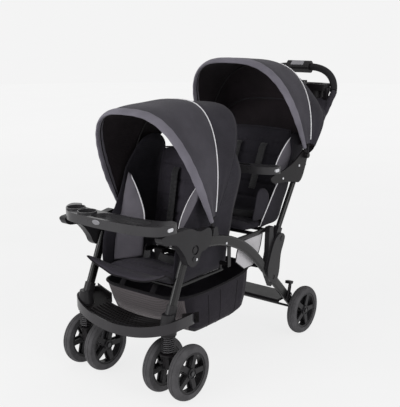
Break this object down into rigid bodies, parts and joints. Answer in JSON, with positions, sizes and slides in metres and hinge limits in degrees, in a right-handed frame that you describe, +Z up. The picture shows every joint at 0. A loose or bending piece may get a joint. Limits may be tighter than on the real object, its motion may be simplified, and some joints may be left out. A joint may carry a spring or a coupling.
{
  "type": "tandem stroller",
  "caption": "Tandem stroller with an arched folding frame, paired swivel front wheels, in-line seats under folding canopies, child trays, parent tray, basket and rear standing platform.",
  "frame": {"origin": "centre of the footprint box on the ground", "axes": "+Y towards the push handle, -Y towards the front wheels, +Z up, +X to the side of the front tray that has no cup wells"},
  "size_m": [0.5396, 1.2555, 1.1026],
  "materials": {
    "painted_frame": "satin black paint",
    "grey_plastic": "satin dark grey moulding",
    "black_plastic": "matt black moulding",
    "rim_plastic": "satin dark grey moulding",
    "tyre_foam": "matt foam tyre",
    "steel": "plain steel",
    "spring_steel": "dark coated spring wire",
    "bow_rod": "matt black rod",
    "canopy_cloth": "charcoal woven cloth, lighter rim binding, white piping",
    "seat_cloth": "black woven cloth with sewn channels",
    "side_cloth": "charcoal woven cloth",
    "basket_cloth": "black cloth and mesh",
    "grip_foam": "matt black foam",
    "silver_plastic": "silver"
  },
  "bodies": {
    "main_frame": {"arch_legs": "painted_frame", "fold_joints": "grey_plastic", "hub_plates": "grey_plastic", "seat_tubes": "painted_frame", "rear_axle": "steel", "platform": "black_plastic", "front_seat_pad": "seat_cloth", "rear_seat_pad": "seat_cloth", "side_panels": "side_cloth", "harness_buckles": "black_plastic", "basket": "basket_cloth", "front_canopy_rear_bow": "bow_rod", "front_canopy_fabric": "canopy_cloth"},
    "front_frame": {"front_legs": "painted_frame", "footrest": "black_plastic", "caster_housings": "grey_plastic"},
    "push_frame": {"push_tubes": "painted_frame", "push_brackets": "grey_plastic", "handle_grip": "grip_foam", "handle_housing": "grey_plastic", "parent_tray": "black_plastic", "rear_hubs": "grey_plastic", "rear_back_frame": "black_plastic", "rear_backrest_pad": "seat_cloth", "rear_canopy_fabric": "canopy_cloth"},
    "trigger": {"fold_trigger": "silver_plastic"},
    "tray_lid": {"parent_tray_lid": "grey_plastic"},
    "front_backrest": {"front_back_board": "black_plastic", "front_backrest_pad": "seat_cloth"},
    "front_rim_bow": {"front_canopy_rim_bow": "bow_rod"},
    "front_mid_bow": {"front_canopy_mid_bow": "bow_rod"},
    "rear_rim_bow": {"rear_canopy_rim_bow": "bow_rod"},
    "rear_mid_bow": {"rear_canopy_mid_bow": "bow_rod"},
    "child_tray_front": {"front_tray": "grey_plastic"},
    "child_tray_rear": {"rear_tray": "grey_plastic"},
    "button_front": {"front_tray_button": "silver_plastic"},
    "button_rear": {"rear_tray_button": "silver_plastic"},
    "pedal_right": {"brake_pedal_right": "black_plastic"},
    "pedal_left": {"brake_pedal_left": "black_plastic"},
    "wheel_rear_right": {"tyre_rear_right": "tyre_foam", "rim_rear_right": "rim_plastic"},
    "wheel_rear_left": {"tyre_rear_left": "tyre_foam", "rim_rear_left": "rim_plastic"},
    "swivel_right": {"stem_right": "black_plastic", "spring_right": "spring_steel"},
    "fork_body_right": {"fork_right": "black_plastic", "axle_right": "steel"},
    "wheel_front_right_outer": {"tyre_front_right_outer": "tyre_foam", "rim_front_right_outer": "rim_plastic"},
    "wheel_front_right_inner": {"tyre_front_right_inner": "tyre_foam", "rim_front_right_inner": "rim_plastic"},
    "swivel_left": {"stem_left": "black_plastic", "spring_left": "spring_steel"},
    "fork_body_left": {"fork_left": "black_plastic", "axle_left": "steel"},
    "wheel_front_left_outer": {"tyre_front_left_outer": "tyre_foam", "rim_front_left_outer": "rim_plastic"},
    "wheel_front_left_inner": {"tyre_front_left_inner": "tyre_foam", "rim_front_left_inner": "rim_plastic"}
  },
  "joints": [
    {"name": "push_fold", "type": "hinge", "parent": "main_frame", "child": "push_frame", "pos_m": [0, 0.118, 0.432], "axis": [-1, 0, 0], "range_deg": [0, 78]},
    {"name": "leg_fold", "type": "hinge", "parent": "main_frame", "child": "front_frame", "pos_m": [0, -0.421, 0.48], "axis": [1, 0, 0], "range_deg": [0, 45], "deforming": ["basket"]},
    {"name": "front_recline", "type": "hinge", "parent": "main_frame", "child": "front_backrest", "pos_m": [0, -0.188, 0.398], "axis": [-1, 0, 0], "range_deg": [0, 14]},
    {"name": "front_canopy_fold", "type": "hinge", "parent": "main_frame", "child": "front_rim_bow", "pos_m": [0, -0.288, 0.548], "axis": [-1, 0, 0], "range_deg": [0, 44], "deforming": ["front_canopy_fabric"]},
    {"name": "front_canopy_follow", "type": "hinge", "parent": "main_frame", "child": "front_mid_bow", "pos_m": [0, -0.288, 0.548], "axis": [-1, 0, 0], "range_deg": [0, 13], "deforming": ["front_canopy_fabric"]},
    {"name": "rear_canopy_fold", "type": "hinge", "parent": "push_frame", "child": "rear_rim_bow", "pos_m": [0, 0.272, 0.735], "axis": [-1, 0, 0], "range_deg": [0, 48], "deforming": ["rear_canopy_fabric"]},
    {"name": "rear_canopy_follow", "type": "hinge", "parent": "push_frame", "child": "rear_mid_bow", "pos_m": [0, 0.272, 0.735], "axis": [-1, 0, 0], "range_deg": [0, 22], "deforming": ["rear_canopy_fabric"]},
    {"name": "front_tray_swing", "type": "hinge", "parent": "main_frame", "child": "child_tray_front", "pos_m": [-0.219, -0.535, 0.6], "axis": [0, 0, -1], "range_deg": [0, 95]},
    {"name": "front_tray_release", "type": "slide", "parent": "child_tray_front", "child": "button_front", "axis": [-1, 0, 0], "range_m": [0, 0.003], "stiffness_N_per_m": 900, "springref_m": -0.001},
    {"name": "rear_tray_lift", "type": "slide", "parent": "push_frame", "child": "child_tray_rear", "axis": [0, 0, 1], "range_m": [0, 0.05]},
    {"name": "rear_tray_release", "type": "slide", "parent": "child_tray_rear", "child": "button_rear", "axis": [-1, 0, 0], "range_m": [0, 0.003], "stiffness_N_per_m": 900, "springref_m": -0.001},
    {"name": "fold_trigger_pull", "type": "slide", "parent": "push_frame", "child": "trigger", "axis": [0, 0.7314, -0.682], "range_m": [0, 0.003], "stiffness_N_per_m": 900, "springref_m": -0.001},
    {"name": "parent_lid_open", "type": "hinge", "parent": "push_frame", "child": "tray_lid", "pos_m": [0, 0.54623, 0.99627], "axis": [-1, 0, 0], "range_deg": [0, 95]},
    {"name": "brake_right", "type": "hinge", "parent": "main_frame", "child": "pedal_right", "pos_m": [0.229, 0.186, 0.17], "axis": [-1, 0, 0], "range_deg": [0, 14]},
    {"name": "caster_swivel_right", "type": "hinge", "parent": "front_frame", "child": "swivel_right", "pos_m": [0.195, -0.513, 0.24], "axis": [0, 0, 1], "continuous": true},
    {"name": "suspension_right", "type": "slide", "parent": "swivel_right", "child": "fork_body_right", "axis": [0, 0, 1], "range_m": [0, 0.012], "stiffness_N_per_m": 9000, "springref_m": -0.008, "deforming": ["spring_right"]},
    {"name": "wheel_spin_right_outer", "type": "hinge", "parent": "fork_body_right", "child": "wheel_front_right_outer", "pos_m": [0.25, -0.475, 0.098], "axis": [1, 0, 0], "continuous": true},
    {"name": "wheel_spin_right_inner", "type": "hinge", "parent": "fork_body_right", "child": "wheel_front_right_inner", "pos_m": [0.14, -0.475, 0.098], "axis": [1, 0, 0], "continuous": true},
    {"name": "wheel_spin_rear_right", "type": "hinge", "parent": "main_frame", "child": "wheel_rear_right", "pos_m": [0.249, 0.26782, 0.098], "axis": [1, 0, 0], "continuous": true},
    {"name": "brake_left", "type": "hinge", "parent": "main_frame", "child": "pedal_left", "pos_m": [-0.229, 0.186, 0.17], "axis": [-1, 0, 0], "range_deg": [0, 14]},
    {"name": "caster_swivel_left", "type": "hinge", "parent": "front_frame", "child": "swivel_left", "pos_m": [-0.195, -0.513, 0.24], "axis": [0, 0, 1], "continuous": true},
    {"name": "suspension_left", "type": "slide", "parent": "swivel_left", "child": "fork_body_left", "axis": [0, 0, 1], "range_m": [0, 0.012], "stiffness_N_per_m": 9000, "springref_m": -0.008, "deforming": ["spring_left"]},
    {"name": "wheel_spin_left_outer", "type": "hinge", "parent": "fork_body_left", "child": "wheel_front_left_outer", "pos_m": [-0.25, -0.475, 0.098], "axis": [1, 0, 0], "continuous": true},
    {"name": "wheel_spin_left_inner", "type": "hinge", "parent": "fork_body_left", "child": "wheel_front_left_inner", "pos_m": [-0.14, -0.475, 0.098], "axis": [1, 0, 0], "continuous": true},
    {"name": "wheel_spin_rear_left", "type": "hinge", "parent": "main_frame", "child": "wheel_rear_left", "pos_m": [-0.249, 0.26782, 0.098], "axis": [1, 0, 0], "continuous": true}
  ],
  "couplings": [
    {"joint": "leg_fold", "follows": "push_fold", "ratio": 0.5769},
    {"joint": "front_canopy_follow", "follows": "front_canopy_fold", "ratio": 0.2954},
    {"joint": "rear_canopy_follow", "follows": "rear_canopy_fold", "ratio": 0.4583}
  ]
}
